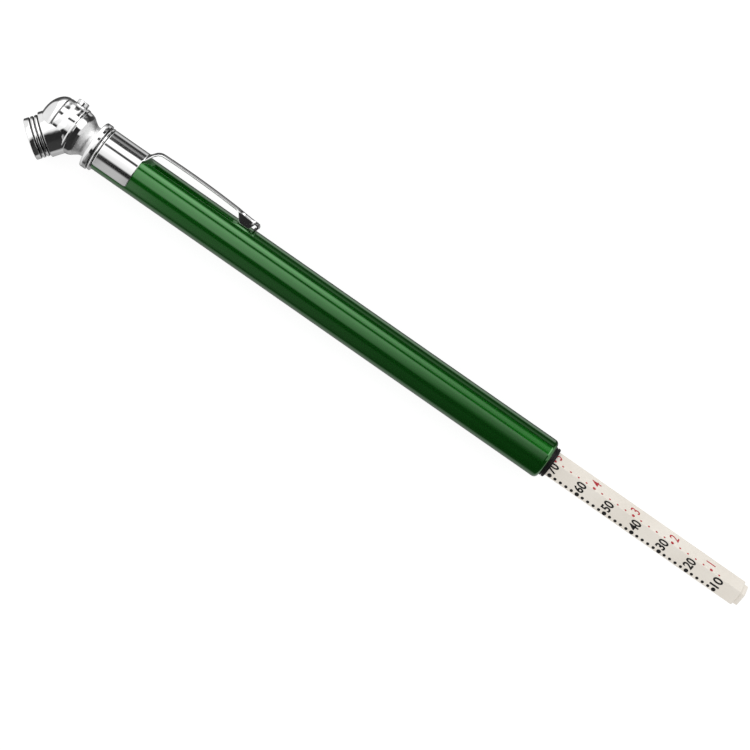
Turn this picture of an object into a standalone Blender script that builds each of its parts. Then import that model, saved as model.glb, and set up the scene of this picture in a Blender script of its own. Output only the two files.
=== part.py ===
# Pencil tire pressure gauge, lying on its side with its indicator bar slid all the way out.
# Metres, +Z up. The barrel runs along +X from the chuck head to the tip of the bar. The
# chuck's mouth points to -X and -Y, and the deflator nib on the ball points to +Y.
# A station is a distance along the barrel from the flange face that the barrel seats on.
import math

import bmesh
import bpy
from mathutils import Matrix, Vector

MM = 0.001

# Fits
SEAT_GAP = 0.2 * MM
SLIDE_GAP = 0.15 * MM
WRAP_GAP = 0.15 * MM
RUBBER_GAP = 0.2 * MM

# Barrel: a 3/8 in drawn tube with its far end rolled in over the bushing
BARREL_DIAMETER = 9.525 * MM
BARREL_LENGTH = 118.75 * MM
BARREL_WALL = 0.4 * MM
BARREL_END_RADIUS = 1.0 * MM

# Chuck head: a die casting with a ball, a mouth, a neck, a flange and a spigot
HEAD_DIAMETER = 10.8 * MM
HEAD_LENGTH = 15.6 * MM
DOME_LENGTH = 3.75 * MM
BEAD_STATION = -8.75 * MM
BEAD_WIDTH = 0.9 * MM
BEAD_HEIGHT = 0.12 * MM
SHOULDER_STATION = -5.9 * MM
NECK_STATION = -3.2 * MM
NECK_DIAMETER = 7.4 * MM
FLANGE_DIAMETER = 11.2 * MM
FLANGE_THICKNESS = 2.36 * MM
FLANGE_TAPER = 0.45 * MM
FLANGE_GROOVE_WIDTH = 0.4 * MM
FLANGE_GROOVE_DEPTH = 0.6 * MM
FLANGE_LIP_WIDTH = 0.46 * MM
FLANGE_LIP_STEP = 0.28 * MM
FLANGE_EDGE = 0.2 * MM
SPIGOT_LENGTH = 9.0 * MM
SPIGOT_CHAMFER = 0.5 * MM
AIR_PASSAGE_DIAMETER = 1.6 * MM

# Mouth: turned about an axis that leaves the barrel's axis inside the ball
MOUTH_STATION = -8.9 * MM
MOUTH_ANGLE = math.radians(52.6)
MOUTH_REACH = 8.94 * MM
COLLAR_DIAMETER = 10.28 * MM
MOUTH_DIAMETER = 9.42 * MM
MOUTH_EDGE = 0.2 * MM
LIP_WIDTH = 1.2 * MM
RING_WIDTH = 0.6 * MM
RING_GROOVE_WIDTH = 0.32 * MM
RING_GROOVE_DEPTH = 0.26 * MM
RING_COUNT = 2
MOUTH_BORE_DIAMETER = 8.0 * MM
MOUTH_BORE_CHAMFER = 0.15 * MM
SEAL_DEPTH = 3.8 * MM
SEAL_THICKNESS = 1.6 * MM
SEAL_HOLE_DIAMETER = 3.8 * MM
SEAL_UNDERCUT = 0.45 * MM
SEAL_EDGE = 0.15 * MM

# Depressor: the disc and pin that open the tire valve's core
DEPRESSOR_DIAMETER = 5.2 * MM
DEPRESSOR_THICKNESS = 0.8 * MM
DEPRESSOR_PIN_DIAMETER = 1.2 * MM
DEPRESSOR_PIN_LENGTH = 2.9 * MM
DEPRESSOR_NOTCH_DIAMETER = 1.1 * MM
DEPRESSOR_NOTCHES = 3

# Deflator nib on the ball
NIB_STATION = -9.25 * MM
NIB_DIAMETER = 2.7 * MM
NIB_TOP = 6.42 * MM
NIB_EDGE = 0.25 * MM

# Ring that seals the spigot in the barrel
RING_SEAL_CORD = 0.8 * MM
RING_SEAL_STATION = 6.2 * MM

# Pocket clip: one strip of sheet, a band round the barrel and an arm along it
CLIP_ANGLE = math.radians(21.0)
CLIP_SHEET = 0.35 * MM
CLIP_BAND_LENGTH = 8.9 * MM
CLIP_WRAP = math.radians(118.0)
CLIP_CORNER = 0.8 * MM
CLIP_ROOT_WIDTH = 5.9 * MM
CLIP_ARM_WIDTH = 2.6 * MM
CLIP_RAMP_LENGTH = 3.0 * MM
CLIP_ARM_LENGTH = 28.5 * MM
CLIP_RISE = 1.83 * MM
CLIP_BOW = 0.3 * MM
CLIP_TIP_RISE = 1.03 * MM
CLIP_HEM_RADIUS = 0.4 * MM
CLIP_FOOT_START = 23.1 * MM
CLIP_FOOT_FLAT = 25.6 * MM
CLIP_FOOT_BACK = 26.9 * MM
CLIP_FOOT_END = 27.5 * MM

# Indicator bar: a square rod, a stop shoulder and a round stem that meets the piston
BAR_SIDE = 4.38 * MM
BAR_CORNER = 0.25 * MM
BAR_TURN = math.radians(35.0)
BAR_EXPOSED = 50.9 * MM
BAR_CLOSED = 1.5 * MM
BAR_STUB_LENGTH = 1.1 * MM
BAR_STUB_INSET = 0.4 * MM
BAR_SHOULDER_DIAMETER = 6.1 * MM
BAR_SHOULDER_LENGTH = 1.6 * MM
BAR_STEM_DIAMETER = 3.8 * MM
BAR_STEM_CHAMFER = 0.4 * MM

# End bushing that guides the bar
BUSHING_LENGTH = 6.7 * MM
BUSHING_PROUD = 1.15 * MM
BUSHING_NOSE_DIAMETER = 7.16 * MM
BUSHING_EDGE = 0.25 * MM

# Piston, its cup and the spring
PISTON_HOME = 9.5 * MM
CUP_DEPTH = 2.6 * MM
CUP_BASE = 0.9 * MM
CUP_LIP = 0.6 * MM
CUP_WASHER_DIAMETER = 4.6 * MM
CUP_WASHER_THICKNESS = 0.6 * MM
SCREW_HEAD_DIAMETER = 2.8 * MM
SCREW_HEAD_THICKNESS = 0.7 * MM
SCREW_DIAMETER = 1.2 * MM
SCREW_LENGTH = 5.0 * MM
PISTON_FLANGE_THICKNESS = 1.2 * MM
PISTON_HUB_LENGTH = 4.4 * MM
PISTON_HUB_CHAMFER = 0.4 * MM
SPRING_WIRE = 0.75 * MM
SPRING_TURNS = 16
SPRING_END_TURNS = 1
SEAT_WASHER_THICKNESS = 0.5 * MM

# How far a cutter runs past what it cuts
OVERSHOOT = 1.0 * MM

# Smoothness
TURN_STEPS = 24
SMALL_STEPS = 20
WIRE_POINTS_PER_TURN = 14
ARC_STEPS = 5
MERGE = 0.000001

# Places and sizes that follow from the ones above
BARREL_RADIUS = BARREL_DIAMETER / 2
BORE_RADIUS = BARREL_RADIUS - BARREL_WALL
FIT_RADIUS = BORE_RADIUS - SEAT_GAP
HEAD_RADIUS = HEAD_DIAMETER / 2
NECK_RADIUS = NECK_DIAMETER / 2
BUSHING_FACE = BARREL_LENGTH + BUSHING_PROUD
BUSHING_BACK = BUSHING_FACE - BUSHING_LENGTH
BAR_TIP = BUSHING_FACE + BAR_EXPOSED
BAR_STROKE = BAR_EXPOSED - BAR_CLOSED
PISTON_OUT = PISTON_HOME + BAR_STROKE
CUP_BACK = PISTON_OUT + CUP_DEPTH
PISTON_FRONT = CUP_BACK + SEAT_GAP
PISTON_FLANGE_BACK = PISTON_FRONT + PISTON_FLANGE_THICKNESS
PISTON_BACK = PISTON_FLANGE_BACK + PISTON_HUB_LENGTH
SHOULDER_FACE = BUSHING_BACK - SEAT_GAP
SEAT_WASHER_FRONT = BUSHING_BACK - SEAT_GAP - SEAT_WASHER_THICKNESS
SPRING_OUTER_RADIUS = BORE_RADIUS - SEAT_GAP
SPRING_INNER_RADIUS = SPRING_OUTER_RADIUS - SPRING_WIRE
BAND_INNER_RADIUS = BARREL_RADIUS + WRAP_GAP
BAND_RADIUS = BAND_INNER_RADIUS + CLIP_SHEET / 2
BAND_START = SEAT_GAP
BAND_END = BAND_START + CLIP_BAND_LENGTH
ARM_HALF_WIDTH = CLIP_ARM_WIDTH / 2
ROOT_HALF_ANGLE = math.asin(CLIP_ROOT_WIDTH / 2 / BAND_RADIUS)


# Scene, collections and materials

for leftover in list(bpy.data.objects):
    bpy.data.objects.remove(leftover, do_unlink=True)

parts = bpy.data.collections.new("tire_pressure_gauge")
cutters = bpy.data.collections.new("cutters")
bpy.context.scene.collection.children.link(parts)
bpy.context.scene.collection.children.link(cutters)


def material(name, colour, metallic, roughness):
    made = bpy.data.materials.new(name)
    made.use_nodes = True
    shader = made.node_tree.nodes["Principled BSDF"]
    shader.inputs["Base Color"].default_value = (*colour, 1.0)
    shader.inputs["Metallic"].default_value = metallic
    shader.inputs["Roughness"].default_value = roughness
    made.diffuse_color = (*colour, 1.0)
    return made


def empty(name, parent=None, location=(0, 0, 0), rotation=None):
    made = bpy.data.objects.new(name, None)
    made.empty_display_size = 5 * MM
    parts.objects.link(made)
    made.parent = parent
    turn = rotation.to_4x4() if rotation else Matrix.Identity(4)
    made.matrix_local = Matrix.Translation(location) @ turn
    return made


def place(made, parent, surface=None, cutter=False):
    collection = cutters if cutter else parts
    for owner in list(made.users_collection):
        owner.objects.unlink(made)
    collection.objects.link(made)
    made.parent = parent
    if surface:
        made.data.materials.clear()
        made.data.materials.append(surface)
    if cutter:
        made.hide_render = True
        made.display_type = "WIRE"
    return made


# Modelling helpers

def smooth_step(value, low, high):
    t = min(max((value - low) / (high - low), 0.0), 1.0)
    return t * t * (3 - 2 * t)


def arc(centre, radius, start, end, steps=ARC_STEPS):
    # Points (station, radius) on an arc; angles in degrees, 0 towards +station, 90 outwards.
    points = []
    for index in range(steps + 1):
        angle = math.radians(start + (end - start) * index / steps)
        points.append((centre[0] + radius * math.cos(angle), centre[1] + radius * math.sin(angle)))
    return points


def bezier(points, steps):
    # A cubic curve through the first and last of four (along, up) points.
    a, b, c, d = (Vector(point) for point in points)
    curve = []
    for index in range(steps + 1):
        t = index / steps
        u = 1 - t
        curve.append(a * u ** 3 + b * 3 * u * u * t + c * 3 * u * t * t + d * t ** 3)
    return curve


def downwards(profile):
    # Orders a profile so that its outer side runs from high to low stations.
    area = 0.0
    for (z1, r1), (z2, r2) in zip(profile, profile[1:] + profile[:1]):
        area += r1 * z2 - r2 * z1
    return profile if area < 0 else list(reversed(profile))


def turned(name, profile, parent, surface=None, steps=TURN_STEPS, cutter=False):
    # Turns a profile of (station, radius) pairs about its parent's Z axis.
    # It starts half a step round, so that a facet points down and the gauge lies still on it.
    across, up = math.cos(math.pi / steps), math.sin(math.pi / steps)
    profile = downwards(profile)
    on_axis = profile[0][1] < MERGE and profile[-1][1] < MERGE
    mesh = bpy.data.meshes.new(name + "_profile")
    edges = [(index, index + 1) for index in range(len(profile) - 1)]
    if not on_axis:
        edges.append((len(profile) - 1, 0))
    mesh.from_pydata([(radius * across, radius * up, station) for station, radius in profile], edges, [])
    outline = bpy.data.objects.new(name + "_profile", mesh)
    bpy.context.scene.collection.objects.link(outline)
    screw = outline.modifiers.new("Turn", "SCREW")
    screw.steps = steps
    screw.render_steps = steps
    screw.use_merge_vertices = True
    screw.merge_threshold = MERGE
    return place(baked(name, outline), parent, surface, cutter)


def baked(name, source, sharp_angle=32):
    # Replaces an object by a plain mesh of its evaluated shape, smooth but for sharp edges.
    graph = bpy.context.evaluated_depsgraph_get()
    mesh = bpy.data.meshes.new_from_object(source.evaluated_get(graph))
    bpy.data.objects.remove(source, do_unlink=True)
    work = bmesh.new()
    work.from_mesh(mesh)
    bmesh.ops.remove_doubles(work, verts=work.verts, dist=MERGE)
    work.to_mesh(mesh)
    work.free()
    mesh.shade_smooth()
    mesh.set_sharp_from_angle(angle=math.radians(sharp_angle))
    return bpy.data.objects.new(name, mesh)


def block(name, size, station, parent, surface=None, corner=0.0, cutter=False):
    # A box centred on its parent's Z axis, from a station upwards, with rounded edges.
    bpy.ops.mesh.primitive_cube_add(size=1)
    made = bpy.context.object
    made.name = name
    made.data.transform(Matrix.Translation((0, 0, station + size[2] / 2)) @ Matrix.Diagonal((*size, 1)))
    place(made, parent, surface, cutter)
    if corner:
        bevel = made.modifiers.new("Corners", "BEVEL")
        bevel.width = corner
        bevel.segments = 3
    return made


def combine(target, other, operation):
    step = target.modifiers.new(other.name, "BOOLEAN")
    step.operation = operation
    step.solver = "EXACT"
    step.object = other


# Frames that carry the pieces

gauge = empty("gauge")
# Local Z runs along the barrel, local X to the nib's side and local Y upwards.
along_barrel = Matrix(((0, 0, 1), (1, 0, 0), (0, 1, 0)))
barrel_axis = empty("barrel_axis", gauge, rotation=along_barrel)
piston_axis = empty("piston_slide_axis", barrel_axis)
indicator_axis = empty("indicator_slide_axis", barrel_axis, rotation=Matrix.Rotation(BAR_TURN, 3, "Z"))
mouth_turn = Matrix.Rotation(math.pi + MOUTH_ANGLE, 3, "Y")
mouth_axis = empty("mouth_axis", barrel_axis, (0, 0, MOUTH_STATION), mouth_turn)
nib_axis = empty("nib_axis", barrel_axis, (0, 0, NIB_STATION), Matrix.Rotation(math.pi / 2, 3, "Y"))
clip_axis = empty("clip_axis", barrel_axis, rotation=Matrix.Rotation(CLIP_ANGLE, 3, "Z"))

# Materials

chrome = material("chrome_plate", (0.78, 0.78, 0.77), 1.0, 0.08)
clip_chrome = material("clip_chrome", (0.76, 0.76, 0.76), 1.0, 0.10)
green_anodised = material("green_anodised", (0.03, 0.19, 0.04), 0.85, 0.22)
seal_rubber = material("seal_rubber", (0.03, 0.03, 0.03), 0.0, 0.65)
ring_rubber = material("ring_rubber", (0.04, 0.04, 0.04), 0.0, 0.6)
cup_rubber = material("cup_rubber", (0.05, 0.05, 0.05), 0.0, 0.6)
depressor_brass = material("depressor_brass", (0.72, 0.53, 0.23), 1.0, 0.3)
washer_brass = material("washer_brass", (0.70, 0.52, 0.24), 1.0, 0.3)
screw_brass = material("screw_brass", (0.68, 0.50, 0.22), 1.0, 0.35)
piston_brass = material("piston_brass", (0.70, 0.51, 0.22), 1.0, 0.35)
spring_steel = material("spring_steel", (0.56, 0.56, 0.57), 1.0, 0.25)
seat_steel = material("seat_steel", (0.6, 0.6, 0.6), 1.0, 0.3)
black_nylon = material("black_nylon", (0.015, 0.015, 0.015), 0.0, 0.4)
ivory_nylon = material("ivory_nylon", (0.82, 0.79, 0.72), 0.0, 0.35)


# Chuck head

def dome_profile(steps=8):
    # The ball's round end, flatter than a sphere.
    centre = -HEAD_LENGTH + DOME_LENGTH
    points = []
    for index in range(steps + 1):
        angle = math.pi / 2 * index / steps
        points.append((centre - DOME_LENGTH * math.cos(angle), HEAD_RADIUS * math.sin(angle)))
    return points


def shoulder_profile(steps=6):
    # The ball's back, which runs down to the neck in one soft bend and up again.
    points = []
    for index in range(steps + 1):
        station = SHOULDER_STATION + (NECK_STATION - SHOULDER_STATION) * index / steps
        drop = smooth_step(station, SHOULDER_STATION, NECK_STATION)
        points.append((station, HEAD_RADIUS + (NECK_RADIUS - HEAD_RADIUS) * drop))
    return points


def flange_profile():
    radius = FLANGE_DIAMETER / 2
    lip_radius = radius - FLANGE_LIP_STEP
    groove_radius = radius - FLANGE_GROOVE_DEPTH
    back = -FLANGE_THICKNESS
    groove_end = -FLANGE_LIP_WIDTH
    groove_start = groove_end - FLANGE_GROOVE_WIDTH
    head_side = radius - FLANGE_TAPER
    return [
        (back, NECK_RADIUS),
        (back, head_side - FLANGE_EDGE),
        (back + FLANGE_EDGE, head_side),
        (groove_start - FLANGE_EDGE, radius),
        (groove_start, radius - FLANGE_EDGE),
        (groove_start, groove_radius),
        (groove_end, groove_radius),
        (groove_end, lip_radius),
        (-FLANGE_EDGE / 2, lip_radius),
        (0, lip_radius - FLANGE_EDGE / 2),
    ]


def spigot_profile():
    groove_half = RING_SEAL_CORD / 2 + RUBBER_GAP
    groove_radius = FIT_RADIUS - RING_SEAL_CORD - RUBBER_GAP
    return [
        (0, FIT_RADIUS),
        (RING_SEAL_STATION - groove_half, FIT_RADIUS),
        (RING_SEAL_STATION - groove_half, groove_radius),
        (RING_SEAL_STATION + groove_half, groove_radius),
        (RING_SEAL_STATION + groove_half, FIT_RADIUS),
        (SPIGOT_LENGTH - SPIGOT_CHAMFER, FIT_RADIUS),
        (SPIGOT_LENGTH, FIT_RADIUS - SPIGOT_CHAMFER),
        (SPIGOT_LENGTH, 0),
    ]


def bead_profile():
    start = BEAD_STATION - BEAD_WIDTH / 2
    end = BEAD_STATION + BEAD_WIDTH / 2
    top = HEAD_RADIUS + BEAD_HEIGHT
    return [(start, HEAD_RADIUS), (start + BEAD_HEIGHT, top), (end - BEAD_HEIGHT, top), (end, HEAD_RADIUS)]


def mouth_profile():
    # From the rim back: the lip, the grip rings with a groove before each, and the collar.
    radius = MOUTH_DIAMETER / 2
    collar_radius = COLLAR_DIAMETER / 2
    points = [(MOUTH_REACH, 0), (MOUTH_REACH, radius - MOUTH_EDGE)]
    points += arc((MOUTH_REACH - MOUTH_EDGE, radius - MOUTH_EDGE), MOUTH_EDGE, 0, 90, 3)[1:]
    edge = MOUTH_REACH - LIP_WIDTH
    for _ in range(RING_COUNT):
        points += groove_points(edge, radius)
        edge -= RING_GROOVE_WIDTH
        points += arc((edge - RING_WIDTH / 2, radius - RING_WIDTH / 4), RING_WIDTH / 4, 60, 120, 2)
        edge -= RING_WIDTH
    collar_start = edge - RING_GROOVE_WIDTH
    points += groove_points(edge, radius)[:2]
    points += [
        (collar_start, radius - RING_GROOVE_DEPTH),
        (collar_start, collar_radius - MOUTH_EDGE / 2),
        (collar_start - MOUTH_EDGE / 2, collar_radius),
        (0, collar_radius),
        (0, 0),
    ]
    return points


def groove_points(edge, radius):
    bottom = radius - RING_GROOVE_DEPTH
    slope = RING_GROOVE_WIDTH / 4
    return [
        (edge, radius - slope),
        (edge - slope, bottom),
        (edge - RING_GROOVE_WIDTH + slope, bottom),
        (edge - RING_GROOVE_WIDTH, radius - slope),
    ]


def mouth_cavity_profile():
    # The bore that takes the valve stem, the seal's undercut, the depressor's seat, the passage.
    bore = MOUTH_BORE_DIAMETER / 2
    undercut = bore + SEAL_UNDERCUT
    seat = DEPRESSOR_DIAMETER / 2 + SEAT_GAP
    passage = AIR_PASSAGE_DIAMETER / 2
    outside = MOUTH_REACH + OVERSHOOT
    seal_front = MOUTH_REACH - SEAL_DEPTH + SEAT_GAP
    seal_back = MOUTH_REACH - SEAL_DEPTH - SEAL_THICKNESS - SEAT_GAP
    seat_back = seal_back - DEPRESSOR_THICKNESS - 2 * SEAT_GAP
    return [
        (outside, 0),
        (outside, bore + MOUTH_BORE_CHAMFER + OVERSHOOT),
        (MOUTH_REACH - MOUTH_BORE_CHAMFER, bore),
        (seal_front, bore),
        (seal_front, undercut),
        (seal_back, undercut),
        (seal_back, seat),
        (seat_back, seat),
        (seat_back, passage),
        (0, passage),
        (0, 0),
    ]


def chuck_head():
    outline = dome_profile() + bead_profile() + shoulder_profile() + flange_profile() + spigot_profile()
    head = turned("chuck_head", outline, barrel_axis, chrome)
    mouth = turned("mouth_body", mouth_profile(), mouth_axis, chrome, cutter=True)
    nib_radius = NIB_DIAMETER / 2
    nib_outline = [(0, 0), (0, nib_radius)]
    nib_outline += arc((NIB_TOP - NIB_EDGE, nib_radius - NIB_EDGE), NIB_EDGE, 90, 0, 3)
    nib_outline += [(NIB_TOP, 0)]
    nib = turned("nib_body", nib_outline, nib_axis, chrome, SMALL_STEPS, cutter=True)
    cavity = turned("mouth_cavity", mouth_cavity_profile(), mouth_axis, steps=TURN_STEPS, cutter=True)
    passage_radius = AIR_PASSAGE_DIAMETER / 2
    passage_end = SPIGOT_LENGTH + OVERSHOOT
    passage_outline = [(MOUTH_STATION, 0), (MOUTH_STATION, passage_radius),
                       (passage_end, passage_radius), (passage_end, 0)]
    passage = turned("air_passage", passage_outline, barrel_axis, steps=SMALL_STEPS, cutter=True)
    combine(head, mouth, "UNION")
    combine(head, nib, "UNION")
    combine(head, cavity, "DIFFERENCE")
    combine(head, passage, "DIFFERENCE")


def mouth_seal():
    front = MOUTH_REACH - SEAL_DEPTH
    back = front - SEAL_THICKNESS
    outer = MOUTH_BORE_DIAMETER / 2 + SEAL_UNDERCUT - RUBBER_GAP
    inner = SEAL_HOLE_DIAMETER / 2
    outline = [
        (front, inner + SEAL_EDGE), (front, outer - SEAL_EDGE), (front - SEAL_EDGE, outer),
        (back + SEAL_EDGE, outer), (back, outer - SEAL_EDGE), (back, inner), (front - SEAL_EDGE, inner),
    ]
    turned("mouth_seal", outline, mouth_axis, seal_rubber)


def core_depressor():
    front = MOUTH_REACH - SEAL_DEPTH - SEAL_THICKNESS - 2 * SEAT_GAP
    back = front - DEPRESSOR_THICKNESS
    disc = DEPRESSOR_DIAMETER / 2
    pin = DEPRESSOR_PIN_DIAMETER / 2
    tip = front + DEPRESSOR_PIN_LENGTH
    outline = [(back, 0), (back, disc), (front, disc), (front, pin)]
    outline += arc((tip - pin, 0), pin, 90, 0, 4)
    depressor = turned("core_depressor", outline, mouth_axis, depressor_brass, SMALL_STEPS)
    notch = DEPRESSOR_NOTCH_DIAMETER / 2
    for index in range(DEPRESSOR_NOTCHES):
        bpy.ops.mesh.primitive_cylinder_add(vertices=12, radius=notch, depth=4 * DEPRESSOR_THICKNESS)
        cutter = bpy.context.object
        cutter.name = f"depressor_notch_{index + 1}"
        angle = 2 * math.pi * index / DEPRESSOR_NOTCHES
        centre = Vector((disc * math.cos(angle), disc * math.sin(angle), (front + back) / 2))
        cutter.data.transform(Matrix.Translation(centre))
        place(cutter, mouth_axis, cutter=True)
        combine(depressor, cutter, "DIFFERENCE")


def head_seal_ring():
    cord = RING_SEAL_CORD / 2
    bpy.ops.mesh.primitive_torus_add(major_radius=FIT_RADIUS - cord, minor_radius=cord,
                                     major_segments=TURN_STEPS, minor_segments=8)
    ring = bpy.context.object
    ring.name = "head_seal_ring"
    half_step = Matrix.Rotation(math.pi / TURN_STEPS, 4, "Z")
    ring.data.transform(Matrix.Translation((0, 0, RING_SEAL_STATION)) @ half_step)
    ring.data.shade_smooth()
    place(ring, barrel_axis, ring_rubber)


# Barrel and the bushing in its end

def barrel_tube():
    centre = (BARREL_LENGTH - BARREL_END_RADIUS, BARREL_RADIUS - BARREL_END_RADIUS)
    outline = [(SEAT_GAP, BORE_RADIUS), (SEAT_GAP, BARREL_RADIUS)]
    outline += arc(centre, BARREL_END_RADIUS, 90, 0, 6)
    outline += arc(centre, BARREL_END_RADIUS - BARREL_WALL, 0, 90, 4)
    turned("barrel_tube", outline, barrel_axis, green_anodised)


def end_bushing():
    centre = (BARREL_LENGTH - BARREL_END_RADIUS, BARREL_RADIUS - BARREL_END_RADIUS)
    nose = BUSHING_NOSE_DIAMETER / 2
    outline = [(BUSHING_BACK, 0), (BUSHING_BACK, FIT_RADIUS - BUSHING_EDGE)]
    outline += [(BUSHING_BACK + BUSHING_EDGE, FIT_RADIUS)]
    outline += arc(centre, BARREL_END_RADIUS - BARREL_WALL - SEAT_GAP, 90, 0, 3)
    outline += [(outline[-1][0], nose)]
    outline += arc((BUSHING_FACE - BUSHING_EDGE, nose - BUSHING_EDGE), BUSHING_EDGE, 90, 0, 3)
    outline += [(BUSHING_FACE, 0)]
    bushing = turned("end_bushing", outline, barrel_axis, black_nylon)
    side = BAR_SIDE + 2 * SLIDE_GAP
    size = (side, side, BUSHING_LENGTH + 2 * OVERSHOOT)
    hole = block("bushing_hole", size, BUSHING_BACK - OVERSHOOT, indicator_axis,
                 corner=BAR_CORNER, cutter=True)
    combine(bushing, hole, "DIFFERENCE")


# Pocket clip

def arm_path():
    # Middle of the sheet as (distance past the band, rise above the band).
    ramp = bezier([(0, 0), (0.27 * CLIP_RAMP_LENGTH, 0), (0.4 * CLIP_RAMP_LENGTH, CLIP_RISE),
                   (CLIP_RAMP_LENGTH, CLIP_RISE)], 8)
    span = CLIP_ARM_LENGTH - CLIP_RAMP_LENGTH
    bow = bezier([(CLIP_RAMP_LENGTH, CLIP_RISE), (CLIP_RAMP_LENGTH + 0.31 * span, CLIP_RISE + CLIP_BOW),
                  (CLIP_RAMP_LENGTH + 0.66 * span, CLIP_RISE + 0.1 * CLIP_BOW),
                  (CLIP_ARM_LENGTH, CLIP_TIP_RISE)], 34)
    hem = arc((CLIP_ARM_LENGTH, CLIP_TIP_RISE - CLIP_HEM_RADIUS), CLIP_HEM_RADIUS, 90, -90, 6)
    return [Vector(point) for point in ramp + bow[1:]] + [Vector(point) for point in hem[1:]]


def foot_depth(along, rise, across):
    # How far the pressed foot drops the sheet: it ends just clear of the barrel.
    if rise < CLIP_TIP_RISE:
        return 0.0
    length = smooth_step(along, CLIP_FOOT_START, CLIP_FOOT_FLAT)
    length -= smooth_step(along, CLIP_FOOT_BACK, CLIP_FOOT_END)
    width = smooth_step(1 - abs(across), 0.0, 0.55)
    return (rise - SEAT_GAP + WRAP_GAP) * length * width


def pocket_clip():
    band_angles = [-CLIP_WRAP + (CLIP_WRAP - ROOT_HALF_ANGLE) * step / 8 for step in range(8)]
    root_angles = [ROOT_HALF_ANGLE * (step / 4 - 1) for step in range(9)]
    angles = band_angles + root_angles + [-angle for angle in reversed(band_angles)]
    work = bmesh.new()
    rows = []
    for station in (BAND_START, BAND_END):
        ring = [(BAND_RADIUS * math.cos(angle), BAND_RADIUS * math.sin(angle), station) for angle in angles]
        rows.append([work.verts.new(point) for point in ring])
    skin(work, rows)
    corners = [rows[0][0], rows[0][-1], rows[1][0], rows[1][-1]]
    arm = [rows[1][8:17]]
    for point in arm_path()[1:]:
        arm.append([work.verts.new(arm_point(point, step / 4 - 1)) for step in range(9)])
    skin(work, arm)
    bmesh.ops.bevel(work, geom=corners, offset=CLIP_CORNER, segments=3, profile=0.5, affect="VERTICES")
    mesh = bpy.data.meshes.new("pocket_clip")
    work.to_mesh(mesh)
    work.free()
    mesh.shade_smooth()
    clip = bpy.data.objects.new("pocket_clip", mesh)
    place(clip, clip_axis, clip_chrome)
    sheet = clip.modifiers.new("Sheet", "SOLIDIFY")
    sheet.thickness = CLIP_SHEET
    sheet.offset = 0


def arm_point(point, across):
    # The strip leaves the band wide and curved, and is narrow and flat on top of its ramp.
    along, rise = point
    narrowing = smooth_step(along, 0, 0.6 * CLIP_RAMP_LENGTH)
    half_width = CLIP_ROOT_WIDTH / 2 + (ARM_HALF_WIDTH - CLIP_ROOT_WIDTH / 2) * narrowing
    angle = math.asin(half_width / BAND_RADIUS) * across
    curved = BAND_RADIUS * math.cos(angle)
    height = curved + (BAND_RADIUS - curved) * narrowing + rise
    aside = BAND_RADIUS * math.sin(angle)
    aside += (half_width * across - aside) * narrowing
    return (height - foot_depth(along, rise, across), aside, BAND_END + along)


def skin(work, rows):
    for low, high in zip(rows, rows[1:]):
        for index in range(len(low) - 1):
            work.faces.new((low[index], low[index + 1], high[index + 1], high[index]))


# Indicator bar

def indicator_bar():
    square_start = SHOULDER_FACE - BAR_SHOULDER_LENGTH / 2
    body_end = BAR_TIP - BAR_STUB_LENGTH
    bar = block("indicator_bar", (BAR_SIDE, BAR_SIDE, body_end - square_start), square_start,
                indicator_axis, ivory_nylon, BAR_CORNER)
    stub_side = BAR_SIDE - 2 * BAR_STUB_INSET
    stub = block("bar_stub", (stub_side, stub_side, 2 * BAR_STUB_LENGTH), body_end - BAR_STUB_LENGTH,
                 indicator_axis, ivory_nylon, BAR_CORNER, cutter=True)
    shoulder = BAR_SHOULDER_DIAMETER / 2
    stem = BAR_STEM_DIAMETER / 2
    stem_end = PISTON_BACK + SEAT_GAP
    shoulder_back = SHOULDER_FACE - BAR_SHOULDER_LENGTH
    outline = [
        (SHOULDER_FACE, 0), (SHOULDER_FACE, shoulder),
        (shoulder_back, shoulder), (shoulder_back - (shoulder - stem), stem),
        (stem_end + BAR_STEM_CHAMFER, stem), (stem_end, stem - BAR_STEM_CHAMFER), (stem_end, 0),
    ]
    stem_body = turned("bar_stem", outline, indicator_axis, ivory_nylon, SMALL_STEPS, cutter=True)
    combine(bar, stub, "UNION")
    combine(bar, stem_body, "UNION")


# Piston and what is clamped to it

def piston_body():
    hub = SPRING_INNER_RADIUS - SEAT_GAP
    hole = SCREW_DIAMETER / 2 + SLIDE_GAP
    hole_end = PISTON_OUT + SCREW_LENGTH + SEAT_GAP
    outline = [
        (PISTON_FRONT, hole), (PISTON_FRONT, FIT_RADIUS), (PISTON_FLANGE_BACK, FIT_RADIUS),
        (PISTON_FLANGE_BACK, hub), (PISTON_BACK - PISTON_HUB_CHAMFER, hub),
        (PISTON_BACK, hub - PISTON_HUB_CHAMFER), (PISTON_BACK, 0), (hole_end, 0), (hole_end, hole),
    ]
    start = outline.index((PISTON_BACK, 0))
    turned("piston_body", outline[start + 1:] + outline[:start + 1], piston_axis, piston_brass)


def piston_cup():
    hole = SCREW_DIAMETER / 2 + SLIDE_GAP
    inside = FIT_RADIUS - CUP_LIP
    base_front = CUP_BACK - CUP_BASE
    outline = [
        (base_front, hole), (base_front, inside - CUP_LIP / 2), (base_front - CUP_LIP / 2, inside),
        (PISTON_OUT, inside + CUP_LIP / 2), (PISTON_OUT, FIT_RADIUS),
        (CUP_BACK - CUP_BASE / 2, FIT_RADIUS), (CUP_BACK, FIT_RADIUS - CUP_BASE / 2), (CUP_BACK, hole),
    ]
    turned("piston_cup", outline, piston_axis, cup_rubber)


def cup_washer():
    back = CUP_BACK - CUP_BASE - SEAT_GAP
    washer_ring("cup_washer", back - CUP_WASHER_THICKNESS, CUP_WASHER_THICKNESS,
                SCREW_DIAMETER / 2 + SLIDE_GAP, CUP_WASHER_DIAMETER / 2, piston_axis, washer_brass)


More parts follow.
